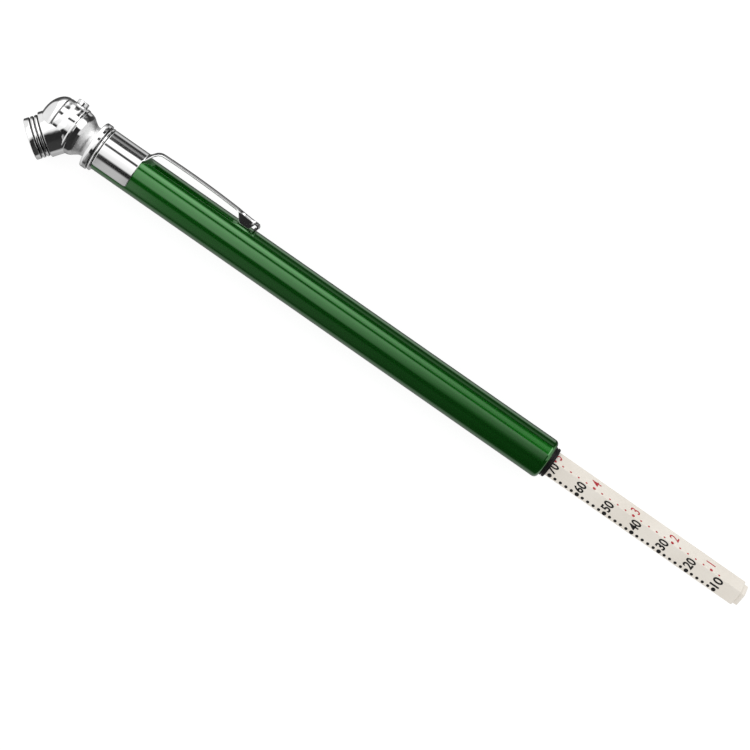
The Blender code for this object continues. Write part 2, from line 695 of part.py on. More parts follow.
def washer_ring(name, station, thickness, inner, outer, parent, surface):
    top = station + thickness
    turned(name, [(station, inner), (station, outer), (top, outer), (top, inner)], parent, surface)


def piston_screw():
    head = SCREW_HEAD_DIAMETER / 2
    shank = SCREW_DIAMETER / 2
    head_back = CUP_BACK - CUP_BASE - 2 * SEAT_GAP - CUP_WASHER_THICKNESS
    head_front = head_back - SCREW_HEAD_THICKNESS
    end = PISTON_OUT + SCREW_LENGTH
    outline = [(head_front, 0), (head_front, head / 2), (head_front + head / 4, head),
               (head_back, head), (head_back, shank), (end, shank), (end, 0)]
    turned("piston_screw", outline, piston_axis, screw_brass, SMALL_STEPS)


# Spring between the piston's flange and the washer on the bushing

def spring_seat_washer():
    inner = BAR_SHOULDER_DIAMETER / 2 + SLIDE_GAP
    washer_ring("spring_seat_washer", SEAT_WASHER_FRONT, SEAT_WASHER_THICKNESS, inner, FIT_RADIUS,
                barrel_axis, seat_steel)


def calibration_spring():
    # Closed end turns lie wire to wire, and the turns between them share the rest evenly.
    wire = SPRING_WIRE / 2
    low = PISTON_FLANGE_BACK + SEAT_GAP + wire
    high = SEAT_WASHER_FRONT - SEAT_GAP - wire
    closed_rise = 1.15 * SPRING_WIRE * SPRING_END_TURNS
    open_turns = SPRING_TURNS - 2 * SPRING_END_TURNS
    open_rise = high - low - 2 * closed_rise
    radius = SPRING_OUTER_RADIUS - wire
    curve = bpy.data.curves.new("calibration_spring", "CURVE")
    curve.dimensions = "3D"
    curve.bevel_depth = wire
    curve.bevel_resolution = 2
    curve.use_fill_caps = True
    line = curve.splines.new("POLY")
    count = SPRING_TURNS * WIRE_POINTS_PER_TURN
    line.points.add(count)
    for index in range(count + 1):
        turn = index / WIRE_POINTS_PER_TURN
        first = min(turn, SPRING_END_TURNS) / SPRING_END_TURNS
        middle = min(max(turn - SPRING_END_TURNS, 0), open_turns) / open_turns
        last = max(turn - SPRING_END_TURNS - open_turns, 0) / SPRING_END_TURNS
        station = low + closed_rise * (first + last) + open_rise * middle
        angle = 2 * math.pi * turn
        line.points[index].co = (radius * math.cos(angle), radius * math.sin(angle), station, 1)
    coil = bpy.data.objects.new("calibration_spring_wire", curve)
    bpy.context.scene.collection.objects.link(coil)
    place(baked("calibration_spring", coil, 80), barrel_axis, spring_steel)


def stand_on_floor():
    # Sets the frame's origin under the middle of the whole gauge, on the surface it lies on.
    graph = bpy.context.evaluated_depsgraph_get()
    corners = []
    for piece in parts.objects:
        if piece.type == "MESH":
            shape = piece.evaluated_get(graph).to_mesh()
            corners += [piece.matrix_world @ vertex.co for vertex in shape.vertices]
    low = [min(corner[axis] for corner in corners) for axis in range(3)]
    high = [max(corner[axis] for corner in corners) for axis in range(3)]
    gauge.location = (-(low[0] + high[0]) / 2, -(low[1] + high[1]) / 2, -low[2])


chuck_head()
mouth_seal()
core_depressor()
head_seal_ring()
barrel_tube()
end_bushing()
pocket_clip()
indicator_bar()
piston_body()
piston_cup()
cup_washer()
piston_screw()
spring_seat_washer()
calibration_spring()
bpy.context.view_layer.update()
stand_on_floor()
bpy.context.view_layer.update()
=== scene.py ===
import math

import bmesh
import bpy
from mathutils import Matrix, Vector


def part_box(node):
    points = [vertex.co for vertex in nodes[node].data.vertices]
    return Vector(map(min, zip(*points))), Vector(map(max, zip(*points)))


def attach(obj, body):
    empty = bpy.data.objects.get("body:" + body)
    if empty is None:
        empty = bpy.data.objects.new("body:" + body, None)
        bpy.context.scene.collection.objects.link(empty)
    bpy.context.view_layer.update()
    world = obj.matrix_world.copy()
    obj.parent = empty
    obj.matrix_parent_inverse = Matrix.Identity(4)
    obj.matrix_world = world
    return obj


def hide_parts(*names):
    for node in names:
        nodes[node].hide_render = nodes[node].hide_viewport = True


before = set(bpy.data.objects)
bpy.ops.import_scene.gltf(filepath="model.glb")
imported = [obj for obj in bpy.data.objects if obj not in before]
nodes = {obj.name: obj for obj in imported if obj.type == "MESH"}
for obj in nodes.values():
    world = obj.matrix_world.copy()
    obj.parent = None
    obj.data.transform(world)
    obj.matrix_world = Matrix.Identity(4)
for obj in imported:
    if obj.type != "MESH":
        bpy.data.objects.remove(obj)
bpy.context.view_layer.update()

# Sizes are in millimetres and degrees. A station is a place along the gauge's axis, counted from
# the face of the head that the tube stands against.
mm = 0.001
mergeGap = 0.002 * mm
pickGap = 0.02 * mm

# the tube tells where the gauge's axis and its station 0 are
tubeLow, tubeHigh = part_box("barrel_tube")
tubeGap = 0.2
gaugeAxis = Vector((tubeLow.x - tubeGap * mm, (tubeLow.y + tubeHigh.y) / 2,
                    (tubeLow.z + tubeHigh.z) / 2))
alongTube = Vector((1, 0, 0))
screenUp = Vector((0, 1, 0))
print("frame loaded, axis at", tuple(round(value / mm, 3) for value in gaugeAxis), "mm")


# Small tools for editing

def startFresh():
    if bpy.context.object and bpy.context.object.mode != "OBJECT":
        bpy.ops.object.mode_set(mode="OBJECT")
    bpy.ops.object.select_all(action="DESELECT")


def makeActive(piece):
    startFresh()
    bpy.context.view_layer.objects.active = piece
    piece.select_set(True)


def selectVerts(test):
    # in edit mode: selects the points that pass, and the edges and faces they make up
    mesh = bpy.context.object.data
    bpy.ops.mesh.select_all(action="DESELECT")
    work = bmesh.from_edit_mesh(mesh)
    for vert in work.verts:
        vert.select = bool(test(vert))
    work.select_flush(True)
    bmesh.update_edit_mesh(mesh)


def joinPieces(pieces):
    startFresh()
    for piece in pieces:
        piece.select_set(True)
    bpy.context.view_layer.objects.active = pieces[0]
    bpy.ops.object.join()
    return bpy.context.object


def applyModifier(piece, kind, **settings):
    makeActive(piece)
    modifier = piece.modifiers.new(kind.title(), kind)
    for name, value in settings.items():
        setattr(modifier, name, value)
    bpy.ops.object.modifier_apply(modifier=modifier.name)


def combine(piece, tool, operation):
    applyModifier(piece, "BOOLEAN", operation=operation, solver="EXACT", object=tool)
    bpy.data.objects.remove(tool, do_unlink=True)


def finishPiece(piece, name, material, body, smoothAngle, replaces=(), evenShading=False):
    makeActive(piece)
    bpy.ops.object.transform_apply(location=True, rotation=True, scale=True)
    bpy.ops.object.shade_smooth_by_angle(angle=math.radians(smoothAngle))
    if evenShading:
        applyModifier(piece, "WEIGHTED_NORMAL", keep_sharp=True, weight=80)
    piece.name = name
    piece.data.materials.clear()
    piece.data.materials.append(material)
    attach(piece, body)
    if replaces:
        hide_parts(*replaces)
    print(name, "made,", len(piece.data.polygons), "faces")


def smoothStep(t):
    t = min(max(t, 0), 1)
    return t * t * (3 - 2 * t)


def softCorners(outline, segments):
    # outline points are (station, radius) or (station, radius, setback of the rounded corner);
    # a setback stays under half of its side, so that two corners never meet
    result = []
    mostOfSide = 0.49
    for index, point in enumerate(outline):
        here = Vector(point[:2])
        setback = point[2] if len(point) > 2 else 0
        if not setback:
            result.append(here)
            continue
        before = Vector(outline[index - 1][:2]) - here
        after = Vector(outline[index + 1][:2]) - here
        start = here + before.normalized() * min(setback, before.length * mostOfSide)
        end = here + after.normalized() * min(setback, after.length * mostOfSide)
        for step in range(segments + 1):
            t = step / segments
            result.append(start * (1 - t) ** 2 + here * 2 * t * (1 - t) + end * t * t)
    return result


def penOutline(outline, origin, along, out):
    # draws an outline as a chain of edges, starting from a plane merged to a point
    startFresh()
    places = [origin + (along * point[0] + out * point[1]) * mm for point in outline]
    bpy.ops.mesh.primitive_plane_add(size=mm, location=places[0])
    bpy.ops.object.transform_apply(location=True)
    bpy.ops.object.mode_set(mode="EDIT")
    bpy.ops.mesh.merge(type="CENTER")
    for here, there in zip(places, places[1:]):
        bpy.ops.mesh.extrude_vertices_move(TRANSFORM_OT_translate={"value": there - here})


def lathe(outline, origin, along, out, steps, segments=5, closed=False):
    # spins an outline all the way round and closes it
    points = softCorners(outline, segments)
    if closed:
        points.append(points[0])
    penOutline(points, origin, along, out)
    bpy.ops.mesh.select_all(action="SELECT")
    bpy.ops.mesh.spin(steps=steps, angle=math.tau, center=origin, axis=along)
    bpy.ops.mesh.select_all(action="SELECT")
    bpy.ops.mesh.remove_doubles(threshold=mergeGap)
    bpy.ops.mesh.normals_make_consistent(inside=False)
    bpy.ops.object.mode_set(mode="OBJECT")
    return bpy.context.object


# Nodes that the materials and the room are made of

def calculate(tree, operation, first, second):
    made = tree.nodes.new("ShaderNodeMath")
    made.operation = operation
    for socket, value in zip(made.inputs, (first, second)):
        if isinstance(value, (int, float)):
            socket.default_value = value
        else:
            tree.links.new(value, socket)
    return made.outputs[0]


def mixTones(tree, factor, first, second):
    # first and second are grey levels, colours, or what other nodes give
    made = tree.nodes.new("ShaderNodeMix")
    made.data_type = "RGBA"
    tree.links.new(factor, made.inputs["Factor"])
    for name, tone in (("A", first), ("B", second)):
        if isinstance(tone, (int, float)):
            made.inputs[name].default_value = (tone, tone, tone, 1)
        elif isinstance(tone, tuple):
            made.inputs[name].default_value = (*tone, 1)
        else:
            tree.links.new(tone, made.inputs[name])
    return made.outputs["Result"]


def spread(tree, value, low, high, fromLow=0.3, fromHigh=0.7):
    made = tree.nodes.new("ShaderNodeMapRange")
    limits = {"From Min": fromLow, "From Max": fromHigh, "To Min": low, "To Max": high}
    for socket, number in limits.items():
        made.inputs[socket].default_value = number
    tree.links.new(value, made.inputs["Value"])
    return made.outputs["Result"]


# Materials

def newMaterial(name):
    material = bpy.data.materials.new(name)
    material.use_nodes = True
    return material, material.node_tree.nodes["Principled BSDF"]


def objectCoords(tree, stretch):
    coords = tree.nodes.new("ShaderNodeTexCoord")
    mapping = tree.nodes.new("ShaderNodeMapping")
    mapping.inputs["Scale"].default_value = stretch
    tree.links.new(coords.outputs["Object"], mapping.inputs["Vector"])
    return mapping.outputs["Vector"]


def noise(tree, vector, scale, detail=3, roughness=0.5):
    made = tree.nodes.new("ShaderNodeTexNoise")
    made.inputs["Scale"].default_value = scale
    made.inputs["Detail"].default_value = detail
    made.inputs["Roughness"].default_value = roughness
    tree.links.new(vector, made.inputs["Vector"])
    return made.outputs["Fac"]


def bump(tree, height, strength, distance):
    made = tree.nodes.new("ShaderNodeBump")
    made.inputs["Strength"].default_value = strength
    made.inputs["Distance"].default_value = distance
    tree.links.new(height, made.inputs["Height"])
    return made.outputs["Normal"]


def paintCreviceShade(tree, colour, paintedCreviceShade):
    # painted shade: the colour darkens in narrow grooves and corners, where the ambient occlusion finds
    # the surface closed in
    openness = tree.nodes.new("ShaderNodeAmbientOcclusion")
    openness.inputs["Distance"].default_value = paintedCreviceShade["reach"] * mm
    openness.only_local = True
    light = spread(tree, openness.outputs["AO"], 0, 1, paintedCreviceShade["closed"], paintedCreviceShade["open"])
    return mixTones(tree, light, paintedCreviceShade["shade"], colour)


def satinStretch(tree, roughness, satin):
    # where the polishing wheel can't reach, between two stations, the plating stays satin
    coords = tree.nodes.new("ShaderNodeTexCoord")
    parts = tree.nodes.new("ShaderNodeSeparateXYZ")
    tree.links.new(coords.outputs["Object"], parts.inputs["Vector"])
    start, end = (gaugeAxis.x + satin[side] * mm for side in ("start", "end"))
    inside = spread(tree, parts.outputs["X"], 0, 1, start, start + satin["blend"] * mm)
    outside = spread(tree, parts.outputs["X"], 1, 0, end - satin["blend"] * mm, end)
    weight = calculate(tree, "MULTIPLY", inside, outside)
    rise = calculate(tree, "SUBTRACT", satin["roughness"], roughness)
    return calculate(tree, "ADD", roughness, calculate(tree, "MULTIPLY", weight, rise))


def finishMaterial(name, settings):
    # one recipe: two tones, a spread of roughness and a fine relief, each from its own noise
    material, shader = newMaterial(name)
    tree = material.node_tree
    vector = objectCoords(tree, settings.get("stretch", (1, 1, 1)))
    tones = spread(tree, noise(tree, vector, settings["toneScale"]), 0, 1)
    grain = noise(tree, vector, settings["grainScale"], settings.get("detail", 5), roughness=0.6)
    colour = mixTones(tree, tones, settings["dark"], settings["light"])
    # painted shade in grooves and corners, for the finishes that ask for it
    if "paintedCreviceShade" in settings:
        colour = paintCreviceShade(tree, colour, settings["paintedCreviceShade"])
    tree.links.new(colour, shader.inputs["Base Color"])
    roughness = spread(tree, grain, *settings["roughness"])
    if "satin" in settings:
        roughness = satinStretch(tree, roughness, settings["satin"])
    tree.links.new(roughness, shader.inputs["Roughness"])
    relief = bump(tree, grain, settings["relief"], settings["depth"] * mm)
    tree.links.new(relief, shader.inputs["Normal"])
    shader.inputs["Metallic"].default_value = settings.get("metallic", 0)
    shader.inputs["Coat Weight"].default_value = settings.get("coat", 0)
    shader.inputs["Coat Roughness"].default_value = settings.get("coatRoughness", 0.03)
    shader.inputs["Coat IOR"].default_value = settings.get("coatIor", 1.5)
    shader.inputs["IOR"].default_value = settings.get("ior", 1.5)
    return material


chromeFinish = {
    "dark": (0.88, 0.88, 0.88), "light": (0.96, 0.96, 0.96), "metallic": 1, "toneScale": 300,
    "grainScale": 330, "detail": 1, "roughness": (0.03, 0.07), "relief": 0.8, "depth": 0.12,
    # painted shade in grooves and corners: how far the occlusion looks, the levels where the shade
    # starts and ends, and its colour
    "paintedCreviceShade": {"reach": 0.5, "closed": 0.5, "open": 0.92, "shade": 0.03},
    "satin": {"start": -5.3, "end": -2.4, "blend": 0.3, "roughness": 0.42},
}
clipFinish = {
    "dark": (0.90, 0.90, 0.90), "light": (0.96, 0.96, 0.96), "metallic": 1, "toneScale": 200,
    "grainScale": 500, "stretch": (0.1, 1, 1), "roughness": (0.03, 0.07), "relief": 0.02,
    "depth": 0.004,
}
greenFinish = {
    "dark": (0.001, 0.145, 0.003), "light": (0.002, 0.165, 0.005), "metallic": 0.84,
    "toneScale": 90, "grainScale": 2500, "stretch": (0.04, 1, 1), "roughness": (0.15, 0.20),
    "relief": 0.02, "depth": 0.004, "coat": 1, "coatRoughness": 0.03, "coatIor": 1.78,
}
ivoryFinish = {
    "dark": (0.80, 0.745, 0.665), "light": (0.86, 0.81, 0.735), "toneScale": 120,
    "grainScale": 3000, "roughness": (0.34, 0.46), "relief": 0.05, "depth": 0.01,
}
blackFinish = {
    "dark": (0.005, 0.005, 0.005), "light": (0.012, 0.012, 0.012), "toneScale": 500,
    "grainScale": 4000, "roughness": (0.28, 0.42), "relief": 0.12, "depth": 0.01, "ior": 1.3,
}
rubberFinish = {
    "dark": (0.016, 0.016, 0.016), "light": (0.034, 0.033, 0.032), "toneScale": 700,
    "grainScale": 5000, "roughness": (0.55, 0.8), "relief": 0.3, "depth": 0.02,
}
brassFinish = {
    "dark": (0.50, 0.33, 0.11), "light": (0.66, 0.46, 0.18), "metallic": 1, "toneScale": 300,
    "grainScale": 2500, "roughness": (0.18, 0.32), "relief": 0.06, "depth": 0.006,
}
steelFinish = {
    "dark": (0.42, 0.42, 0.43), "light": (0.56, 0.56, 0.57), "metallic": 1, "toneScale": 400,
    "grainScale": 2500, "roughness": (0.22, 0.38), "relief": 0.08, "depth": 0.006,
}
blackInkFinish = {
    "dark": (0.006, 0.006, 0.006), "light": (0.014, 0.013, 0.013), "toneScale": 900,
    "grainScale": 5000, "roughness": (0.4, 0.6), "relief": 0.1, "depth": 0.004,
}
redInkFinish = {
    "dark": (0.42, 0.020, 0.030), "light": (0.52, 0.040, 0.050), "toneScale": 900,
    "grainScale": 5000, "roughness": (0.4, 0.6), "relief": 0.1, "depth": 0.004,
}

chromePlate = finishMaterial("chromePlate", chromeFinish)
clipChrome = finishMaterial("clipChrome", clipFinish)
greenAnodised = finishMaterial("greenAnodised", greenFinish)
ivoryNylon = finishMaterial("ivoryNylon", ivoryFinish)
blackNylon = finishMaterial("blackNylon", blackFinish)
blackInk = finishMaterial("blackInk", blackInkFinish)
redInk = finishMaterial("redInk", redInkFinish)
nodeFinishes = {
    "chuck_head": chromePlate,
    "pocket_clip": clipChrome,
    "barrel_tube": greenAnodised,
    "indicator_bar": ivoryNylon,
    "end_bushing": blackNylon,
    "mouth_seal": finishMaterial("sealRubber", rubberFinish),
    "head_seal_ring": finishMaterial("ringRubber", rubberFinish),
    "piston_cup": finishMaterial("cupRubber", rubberFinish),
    "core_depressor": finishMaterial("depressorBrass", brassFinish),
    "piston_body": finishMaterial("pistonBrass", brassFinish),
    "cup_washer": finishMaterial("washerBrass", brassFinish),
    "piston_screw": finishMaterial("screwBrass", brassFinish),
    "calibration_spring": finishMaterial("springSteel", steelFinish),
    "spring_seat_washer": finishMaterial("seatSteel", steelFinish),
}
for nodeName, finish in nodeFinishes.items():
    nodes[nodeName].data.materials.clear()
    nodes[nodeName].data.materials.append(finish)
print("materials ready")


# Chuck head: a turned ball, neck and flange, with the mouth and the nib joined to it

head = {
    "steps": 96,
    # the ball: its dome, the seam round it, and its side by the tube with a raised line
    "length": 15.6, "radius": 5.45, "domeLength": 3.75, "domeSteps": 24,
    "seamStation": -11.9, "seamHalfWidth": 0.2, "seamFloor": 0.04, "seamDepth": 0.22, "seamEdge": 0.03,
    "bulge": 0.29, "bulgeStart": -8.3, "bulgeSteps": 9,
    "beadStart": -7.65, "beadEnd": -6.85, "beadHeight": 0.14, "beadSlope": 0.14, "beadClear": 0.1,
    "beadFoot": 0.06, "beadEdge": 0.1,
    # the neck, the flange with its groove, and the spigot with its seal ring's groove
    "shoulder": -5.9, "neckStation": -3.2, "neckRadius": 3.7, "neckEdge": 0.2, "shoulderSteps": 14,
    "flangeBack": -2.36, "flangeRadius": 5.6, "flangeEdge": 0.3, "rimEdge": 0.12, "fineEdge": 0.08,
    "grooveStart": -0.86, "grooveEnd": -0.46, "grooveDepth": 0.6, "lipStep": 0.28,
    "spigotRadius": 4.1625, "spigotLength": 9.0, "spigotEdge": 0.5,
    "ringStation": 6.2, "ringHalf": 0.45, "ringDepth": 0.85,
    # the mouth: its lip, the grip rings and the collar
    "mouthStation": -8.9, "mouthAngle": 52.6, "mouthReach": 8.94, "mouthRadius": 4.71,
    "mouthEdge": 0.22, "lipWidth": 1.2, "lipEdge": 0.14, "collarRadius": 5.14, "gripRings": 2,
    "ringWidth": 0.6, "ringEdge": 0.2, "ringGroove": 0.32, "ringGrooveDepth": 0.4,
    # the cavity in the mouth, and the air passage from it
    "boreRadius": 4.0, "boreChamfer": 0.15, "boreEdge": 0.06, "undercut": 0.45,
    "sealDepth": 3.8, "sealThickness": 1.6, "sealGap": 0.2,
    "seatRadius": 2.8, "seatDepth": 1.2, "passageRadius": 0.8, "overshoot": 1.0,
    "nibStation": -9.25, "nibRadius": 1.35, "nibTop": 6.42, "nibEdge": 0.3, "nibSteps": 48,
}


def domeRadius(station):
    along = min(max((head["domeLength"] - head["length"] - station) / head["domeLength"], 0), 1)
    return head["radius"] * (1 - along ** 2) ** 0.5


def bulgeRadius(station):
    # the ball's side by the tube falls off a little, so that it doesn't mirror like a tube
    along = max((station - head["bulgeStart"]) / (head["shoulder"] - head["bulgeStart"]), 0)
    return head["radius"] - head["bulge"] * along ** 2


def domeOutline():
    middle = head["seamStation"]
    low = middle - head["seamHalfWidth"]
    high = middle + head["seamHalfWidth"]
    floor = domeRadius(middle) - head["seamDepth"]
    points = [(low, domeRadius(low)), (middle - head["seamFloor"], floor, head["seamEdge"]),
              (middle + head["seamFloor"], floor, head["seamEdge"]), (high, domeRadius(high))]
    for step in range(head["domeSteps"] + 1):
        angle = math.pi / 2 * step / head["domeSteps"]
        station = head["domeLength"] * (1 - math.cos(angle)) - head["length"]
        if not low < station < high:
            points.append((station, domeRadius(station)))
    return sorted(points)


def bulgeOutline():
    start, end = head["beadStart"], head["beadEnd"]
    points = []
    for station in (start, end):
        points.append((station, bulgeRadius(station), head["beadFoot"]))
    for station in (start + head["beadSlope"], end - head["beadSlope"]):
        points.append((station, bulgeRadius(station) + head["beadHeight"], head["beadEdge"]))
    span = head["shoulder"] - head["bulgeStart"]
    for step in range(head["bulgeSteps"]):
        station = head["bulgeStart"] + span * step / head["bulgeSteps"]
        if not start - head["beadClear"] < station < end + head["beadClear"]:
            points.append((station, bulgeRadius(station)))
    return sorted(points)


def shoulderOutline():
    # goes on in the ball's own slope and levels out at the neck
    points = []
    span = head["neckStation"] - head["shoulder"]
    top = bulgeRadius(head["shoulder"])
    slope = -2 * head["bulge"] / (head["shoulder"] - head["bulgeStart"]) * span
    for step in range(head["shoulderSteps"] + 1):
        t = step / head["shoulderSteps"]
        radius = top + (head["neckRadius"] - top) * smoothStep(t) + slope * t * (1 - t) ** 2
        points.append((head["shoulder"] + span * t, radius))
    return points


def flangeOutline():
    grooveRadius = head["flangeRadius"] - head["grooveDepth"]
    lipRadius = head["flangeRadius"] - head["lipStep"]
    ringRadius = head["spigotRadius"] - head["ringDepth"]
    ringLow = head["ringStation"] - head["ringHalf"]
    ringHigh = head["ringStation"] + head["ringHalf"]
    fine = head["fineEdge"]
    return [
        (head["flangeBack"], head["neckRadius"], head["neckEdge"]),
        (head["flangeBack"], head["flangeRadius"], head["flangeEdge"]),
        (head["grooveStart"], head["flangeRadius"], head["rimEdge"]),
        (head["grooveStart"], grooveRadius, fine), (head["grooveEnd"], grooveRadius, fine),
        (head["grooveEnd"], lipRadius, fine), (0, lipRadius, fine),
        (0, head["spigotRadius"]), (ringLow, head["spigotRadius"]),
        (ringLow, ringRadius), (ringHigh, ringRadius), (ringHigh, head["spigotRadius"]),
        (head["spigotLength"], head["spigotRadius"], head["spigotEdge"]), (head["spigotLength"], 0),
    ]


def mouthOutline():
    # the lip, then the grip rings with a groove before and behind each, and the collar
    radius = head["mouthRadius"]
    bottom = radius - head["ringGrooveDepth"]
    fine = head["fineEdge"]
    ringEdge = head["ringEdge"]
    edge = head["mouthReach"] - head["lipWidth"]
    points = [(head["mouthReach"], 0), (head["mouthReach"], radius, head["mouthEdge"])]
    points.append((edge, radius, head["lipEdge"]))
    for groove in range(head["gripRings"] + 1):
        points += [(edge, bottom, fine), (edge - head["ringGroove"], bottom, fine)]
        edge -= head["ringGroove"]
        if groove < head["gripRings"]:
            points += [(edge, radius, ringEdge), (edge - head["ringWidth"], radius, ringEdge)]
            edge -= head["ringWidth"]
    return points + [(edge, head["collarRadius"], ringEdge), (0, head["collarRadius"]), (0, 0)]


def cavityOutline():
    sealFront = head["mouthReach"] - head["sealDepth"] + head["sealGap"]
    sealBack = sealFront - head["sealThickness"] - 2 * head["sealGap"]
    seatBack = sealBack - head["seatDepth"]
    outside = head["mouthReach"] + head["overshoot"]
    bore = head["boreRadius"]
    return [
        (outside, 0), (outside, bore + head["boreChamfer"] + head["overshoot"]),
        (head["mouthReach"] - head["boreChamfer"], bore, head["boreEdge"]), (sealFront, bore),
        (sealFront, bore + head["undercut"]), (sealBack, bore + head["undercut"]),
        (sealBack, head["seatRadius"]), (seatBack, head["seatRadius"]),
        (seatBack, head["passageRadius"]), (0, head["passageRadius"]), (0, 0),
    ]


def makeChuckHead():
    outline = domeOutline() + bulgeOutline() + shoulderOutline() + flangeOutline()
    piece = lathe(outline, gaugeAxis, alongTube, screenUp, head["steps"])
    angle = math.radians(head["mouthAngle"])
    mouthOrigin = gaugeAxis + alongTube * head["mouthStation"] * mm
    mouthAlong = Vector((-math.cos(angle), -math.sin(angle), 0))
    mouthOut = Vector((math.sin(angle), -math.cos(angle), 0))
    mouth = lathe(mouthOutline(), mouthOrigin, mouthAlong, mouthOut, head["steps"])
    combine(piece, mouth, "UNION")
    nibOrigin = gaugeAxis + alongTube * head["nibStation"] * mm
    nibOutline = [(0, 0), (0, head["nibRadius"]), (head["nibTop"], head["nibRadius"], head["nibEdge"]),
                  (head["nibTop"], 0)]
    nib = lathe(nibOutline, nibOrigin, screenUp, alongTube, head["nibSteps"])
    combine(piece, nib, "UNION")
    cavity = lathe(cavityOutline(), mouthOrigin, mouthAlong, mouthOut, head["steps"])
    combine(piece, cavity, "DIFFERENCE")
    finishPiece(piece, "chuckHeadCasting", chromePlate, "barrel", smoothAngle=35,
                replaces=["chuck_head"], evenShading=True)


makeChuckHead()


# Barrel: a drawn tube whose far end is rolled in over the bushing

tube = {
    "steps": 128, "length": 118.75, "radius": 4.7625, "wall": 0.4, "backEdge": 0.08,
    "roll": 1.0, "rollSteps": 10, "innerSteps": 6, "cornerSteps": 4,
}


def rollArc(radius, startAngle, endAngle, steps):
    # one side of the tube's rolled-in end
    points = []
    for step in range(steps + 1):
        angle = math.radians(startAngle + (endAngle - startAngle) * step / steps)
        points.append((tube["length"] - tube["roll"] + radius * math.cos(angle),
                       tube["radius"] - tube["roll"] + radius * math.sin(angle)))
    return points


def makeBarrel():
    outline = [(tubeGap, tube["radius"] - tube["wall"]), (tubeGap, tube["radius"], tube["backEdge"]),
               (tube["length"] / 2, tube["radius"])]
    outline += rollArc(tube["roll"], 90, 0, tube["rollSteps"])
    outline += rollArc(tube["roll"] - tube["wall"], 0, 90, tube["innerSteps"])
    piece = lathe(outline, gaugeAxis, alongTube, screenUp, tube["steps"], tube["cornerSteps"],
                  closed=True)
    finishPiece(piece, "barrelTube", greenAnodised, "barrel", smoothAngle=40,
                replaces=["barrel_tube"], evenShading=True)


makeBarrel()


# End bushing: a turned nose with a fine groove, and a square hole that is turned with the bar

bushing = {
    "steps": 96, "face": 119.9, "length": 6.7, "fit": 4.1625, "backEdge": 0.25,
    "step": 118.0, "stepEdge": 0.3, "stepSlope": 0.35, "nose": 3.58, "noseEdge": 0.22,
    "grooveStart": 119.12, "grooveEnd": 119.34, "grooveDepth": 0.22, "grooveRim": 0.06,
    "grooveEdge": 0.05, "holeSide": 4.68, "holeCorner": 0.25, "holeCornerSteps": 3, "turn": 35.0,
}


def makeBushing():
    back = bushing["face"] - bushing["length"]
    nose = bushing["nose"]
    bottom = nose - bushing["grooveDepth"]
    outline = [
        (back, 0), (back, bushing["fit"], bushing["backEdge"]),
        (bushing["step"], bushing["fit"], bushing["stepEdge"]),
        (bushing["step"] + bushing["stepSlope"], nose),
        (bushing["grooveStart"], nose, bushing["grooveRim"]),
        (bushing["grooveStart"], bottom, bushing["grooveEdge"]),
        (bushing["grooveEnd"], bottom, bushing["grooveEdge"]),
        (bushing["grooveEnd"], nose, bushing["grooveRim"]),
        (bushing["face"], nose, bushing["noseEdge"]), (bushing["face"], 0),
    ]
    piece = lathe(outline, gaugeAxis, alongTube, screenUp, bushing["steps"])
    middle = gaugeAxis + alongTube * (bushing["face"] - bushing["length"] / 2) * mm
    turned = (math.radians(bushing["turn"]), 0, 0)
    size = (2 * bushing["length"], bushing["holeSide"], bushing["holeSide"])
    startFresh()
    bpy.ops.mesh.primitive_cube_add(size=mm, location=middle, rotation=turned, scale=size)
    hole = bpy.context.object
    bpy.ops.object.transform_apply(scale=True)
    bpy.ops.object.mode_set(mode="EDIT")
    bpy.ops.mesh.select_all(action="SELECT")
    bpy.ops.mesh.bevel(offset=bushing["holeCorner"] * mm, segments=bushing["holeCornerSteps"])
    bpy.ops.object.mode_set(mode="OBJECT")
    combine(piece, hole, "DIFFERENCE")
    finishPiece(piece, "endBushing", blackNylon, "barrel", smoothAngle=35,
                replaces=["end_bushing"])


makeBushing()


# Pocket clip: one strip, modelled with its arm straight up and then turned round the tube

clip = {
    "turn": 21.0, "sheet": 0.35, "edge": 0.15, "edgeSteps": 4, "sharpAngle": 60,
    # the band round the tube, and the root where the arm leaves it
    "bandStart": 0.2, "bandEnd": 9.1, "bandRadius": 5.0875, "wrap": 118.0, "rootHalf": 2.95,
    "corner": 0.8, "cornerSteps": 5, "sideSteps": 14, "rootSteps": 14,
    # the arm: a ramp up from the band, a shallow bow, and the tip that is rolled under; pulls are
    # the curves' handles, as shares of their lengths
    "armHalf": 1.3, "armLength": 28.2, "armSteps": 60, "narrowEnd": 0.6,
    "ramp": 3.0, "rise": 1.83, "rampPulls": (0.27, 0.4), "rampSteps": 14,
    "bow": 0.3, "bowPulls": (0.31, 0.66), "bowEnd": 0.1,
    "tipRise": 1.16, "hem": 0.6, "hemSteps": 8, "squareTip": 0.05,
    # the arm's arched face: the angles at its two edges, and (start, end, share of the arch) for
    # each stretch of it, counted in ramp lengths
    "crownNear": -3.0, "crownFar": 19.0, "crownLift": 0.24,
    "crownStretches": ((0.6, 0.8, 0.5), (0.8, 12, 1)),
    # the pressed foot, with walls in half widths, and its near side that goes down to the tube
    "footStart": 23.0, "footFlat": 24.9, "footBack": 27.0, "footEnd": 28.1, "footGap": 0.05,
    "footWall": 0.5, "footSlope": 0.9, "leastPress": 0.001, "skirtEnd": 4.72, "skirtMerge": 0.03,
}


def curve(points, steps):
    a, b, c, d = (Vector(point) for point in points)
    result = []
    for step in range(1, steps + 1):
        t = step / steps
        u = 1 - t
        result.append(a * u ** 3 + b * 3 * u * u * t + c * 3 * u * t * t + d * t ** 3)
    return result


